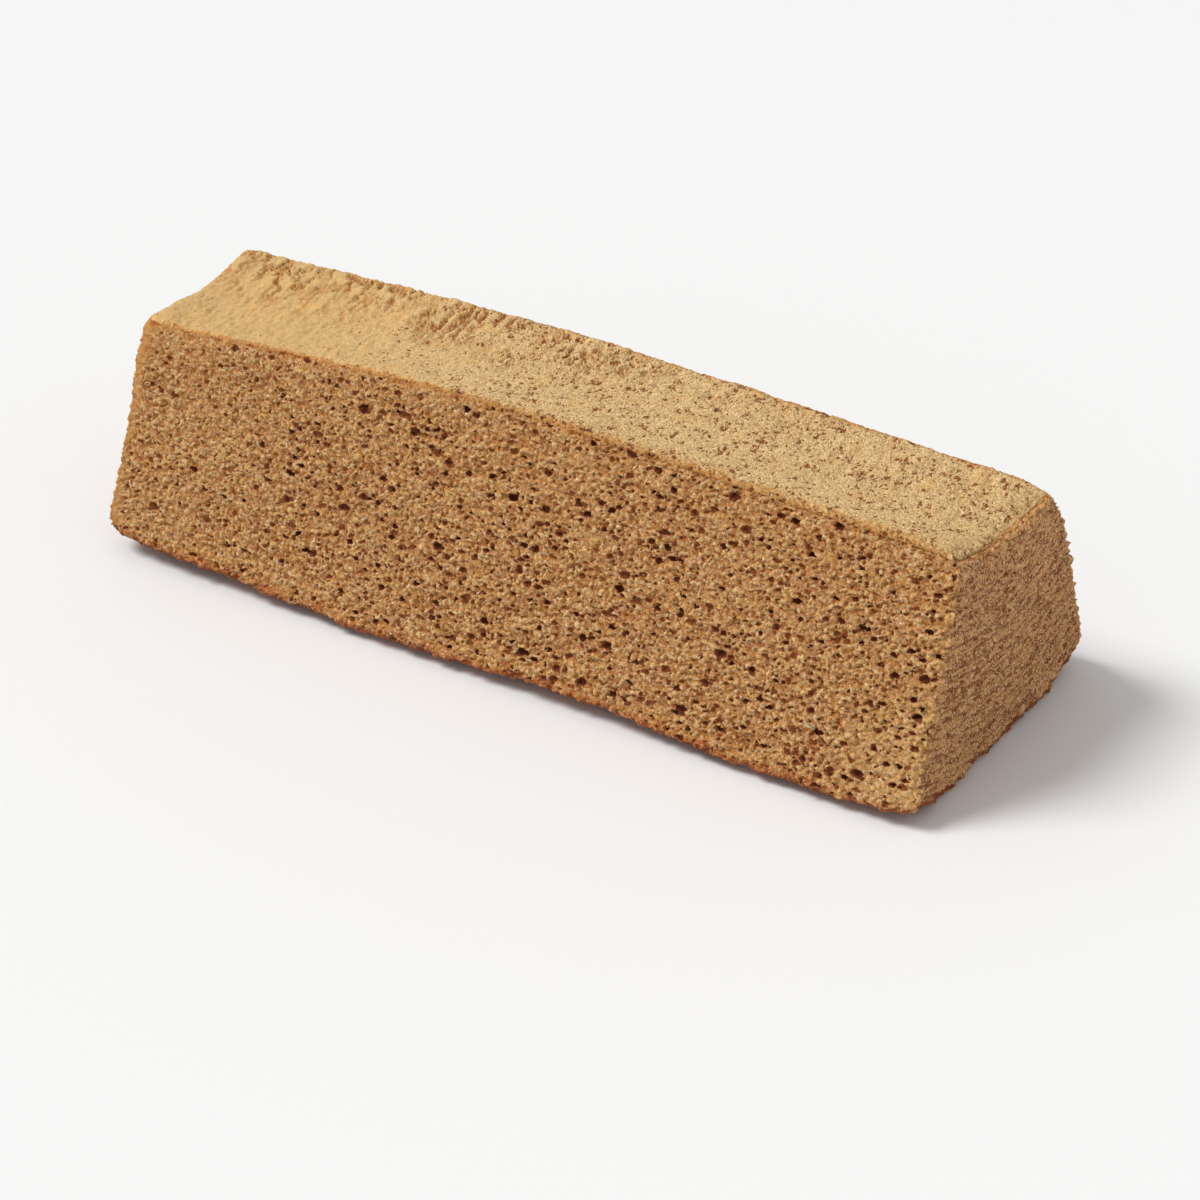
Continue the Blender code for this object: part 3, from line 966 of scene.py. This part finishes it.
def crust_material(fields):
    """Dark brown crust, in clouds."""
    material, tree, shader = new_material("outer_crust")
    place = attribute(tree, "place", "Vector")
    field = grouped(tree, fields["crust"], {"Place": place})
    cloud = ramped(tree, noise(tree, place, 0.12, 4.0, 0.6), 0.35, 0.65)
    colour = blended(tree, cloud, CRUST_DARK, CRUST_BROWN)
    colour = blended(tree, ramped(tree, field.outputs["Grain"], 0.45, 0.75, 0.0, 0.4), colour, EDGE_ORANGE)
    # Painted shade in the crust's pits.
    colour = blended(tree, ramped(tree, field.outputs["Pore"], 0.0, 0.4, 0.0, 0.8), colour, CRUST_DARK)
    fine = noise(tree, place, 3.0, 3.0, 0.65)
    finish_material(tree, shader, colour, product(tree, fine, 0.125), CRUST_ROUGHNESS)
    return material


# -------------------- pieces


def thinned(bar, regions, most):
    """Takes out vertices inside a surface until it has no more triangles than it may have."""
    region = read_out(bar.data.attributes["region"].data, "value")
    sides = read_out(bar.data.polygons, "loop_total")
    triangles = sides - 2
    chosen = np.isin(region, regions)
    inside = np.full(len(bar.data.vertices), True)
    inside[read_out(bar.data.loops, "vertex_index")[~np.repeat(chosen, sides)]] = False
    extra = triangles[chosen].sum() - most * len(regions)
    if extra <= 0:
        return
    group = bar.vertex_groups.new(name="inside")
    group.add(np.flatnonzero(inside).tolist(), 1.0, "REPLACE")
    ratio = 1 - float(extra) / float(triangles.sum())
    apply_modifier(bar, "DECIMATE", "thin", ratio=ratio, vertex_group="inside")
    bar.vertex_groups.clear()


# Maps of the pieces: the two axes along which each is laid flat, the bare margin, and the bands of the
# map that the outer faces and the closing faces take. A rim is drawn in by these factors to close it.
FLAT_AXES = {FRONT: (0, 2), BACK: (0, 2), LEFT: (1, 2), RIGHT: (1, 2), SKIN: (0, 1), CRUST: (0, 1)}
MAP_MARGIN = 0.005
OUTER_BAND = (MAP_MARGIN, 0.90)
CLOSING_BAND = (0.92, 1 - MAP_MARGIN)
DRAWN_IN = (0.96, 0.86, 0.86)


def split(bar):
    """Parts the bar along the rims of its surfaces."""
    regions = read_out(bar.data.attributes["region"].data, "value")
    bar.data.polygons.foreach_set("material_index", regions)
    only(bar)
    bpy.ops.object.mode_set(mode="EDIT")
    bpy.ops.mesh.select_all(action="SELECT")
    bpy.ops.mesh.separate(type="MATERIAL")
    bpy.ops.object.mode_set(mode="OBJECT")
    pieces = {}
    for piece in bpy.context.selected_objects:
        region = piece.data.attributes["region"].data[0].value
        pieces[region] = piece
        piece.name = piece.data.name = NAMES[region]
    return pieces


def lay_flat(piece, axes, outer_faces):
    """Unwraps a piece: the outer faces fill the map up to a strip, which takes the closing faces."""
    data = piece.data
    corners = read_out(data.loops, "vertex_index")
    unshaped = read_out(data.attributes["place"].data, "vector", np.float32, 3)
    shaped = read_out(data.vertices, "co", np.float32, 3)
    counts = read_out(data.polygons, "loop_total")
    closing = np.repeat(np.arange(len(counts)) >= outer_faces, counts)
    unwrapped = np.empty((len(corners), 2), np.float32)
    for chosen, places, (low, high) in ((~closing, unshaped, OUTER_BAND), (closing, shaped, CLOSING_BAND)):
        flat = places[corners[chosen]][:, axes]
        start, size = flat.min(axis=0), np.ptp(flat, axis=0)
        share = (flat - start) / size
        unwrapped[chosen, 0] = MAP_MARGIN + share[:, 0] * (1 - 2 * MAP_MARGIN)
        unwrapped[chosen, 1] = low + share[:, 1] * (high - low)
    layer = data.uv_layers.new(name="OFBake")
    layer.data.foreach_set("uv", unwrapped.ravel())


def close_behind(piece):
    """Gives a surface a body: its rim is drawn in towards the heart of the bar and capped."""
    only(piece)
    bpy.ops.object.mode_set(mode="EDIT")
    bpy.ops.mesh.select_mode(type="EDGE")
    bpy.ops.mesh.select_all(action="DESELECT")
    bpy.ops.mesh.select_non_manifold()
    bpy.ops.mesh.mark_sharp()
    bpy.ops.mesh.extrude_region_move()
    bpy.ops.transform.resize(value=DRAWN_IN, center_override=HEART)
    bpy.ops.mesh.mark_sharp()
    bpy.ops.mesh.edge_face_add()
    bpy.ops.object.mode_set(mode="OBJECT")


def bake_bar():
    """The bar as six closed pieces, each with its finish, that ride on the CAD's body."""
    bar = raw_bar()
    run_nodes(bar, region_tree())
    clean_borders(bar)
    run_nodes(bar, relief_tree(make_fields("GeometryNodeTree")))
    thinned(bar, (CRUST,), MOST_TRIANGLES["crust"])
    thinned(bar, (FRONT, BACK), MOST_TRIANGLES["cut"])
    bar.data.shade_smooth()
    fields = make_fields("ShaderNodeTree")
    look = crumb_group(fields)
    cut, close = cut_material(look), end_material(fields)
    bar.data.materials.clear()
    # In the order of the regions' numbers.
    for material in (cut, cut, close, close, skin_material(fields, look), crust_material(fields)):
        bar.data.materials.append(material)
    for region, piece in split(bar).items():
        outer_faces = len(piece.data.polygons)
        close_behind(piece)
        lay_flat(piece, FLAT_AXES[region], outer_faces)
        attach(piece, "root")
        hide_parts(NODE)


def lay_floor():
    """A plain floor, which the bar's own box leaves out."""
    bpy.ops.mesh.primitive_plane_add(size=FLOOR_SIZE, location=(0, 0, 0))
    floor = bpy.context.object
    floor.name = "floor"
    material, _, shader = new_material("pale_floor")
    shader.inputs["Base Color"].default_value = FLOOR_COLOUR
    shader.inputs["Roughness"].default_value = FLOOR_ROUGHNESS
    floor.data.materials.append(material)


def light_up():
    """An even white sky, and one soft light whose shadow falls to the right."""
    world = bpy.data.worlds.new("studio")
    bpy.context.scene.world = world
    world.use_nodes = True
    world.node_tree.nodes["Background"].inputs["Color"].default_value = SKY_COLOUR
    world.node_tree.nodes["Background"].inputs["Strength"].default_value = SKY_STRENGTH
    light = bpy.data.lights.new("key", "SUN")
    light.energy = KEY_STRENGTH
    light.angle = KEY_SPREAD
    key = bpy.data.objects.new("key", light)
    bpy.context.scene.collection.objects.link(key)
    key.rotation_euler = TOWARDS_KEY.to_track_quat("Z", "Y").to_euler()
    bpy.context.scene.view_settings.view_transform = "Standard"


def set_up_camera():
    """A camera that looks down at the bar from the front right."""
    lens = bpy.data.cameras.new("view")
    lens.lens = VIEW_LENS
    lens.sensor_width = VIEW_SENSOR
    camera = bpy.data.objects.new("view", lens)
    bpy.context.scene.collection.objects.link(camera)
    back = Vector((
        math.sin(VIEW_AZIMUTH) * math.cos(VIEW_ELEVATION),
        -math.cos(VIEW_AZIMUTH) * math.cos(VIEW_ELEVATION),
        math.sin(VIEW_ELEVATION),
    ))
    camera.location = VIEW_TARGET + back * VIEW_DISTANCE
    camera.rotation_euler = back.to_track_quat("Z", "Y").to_euler()
    bpy.context.scene.camera = camera


bake_bar()
lay_floor()
light_up()
set_up_camera()
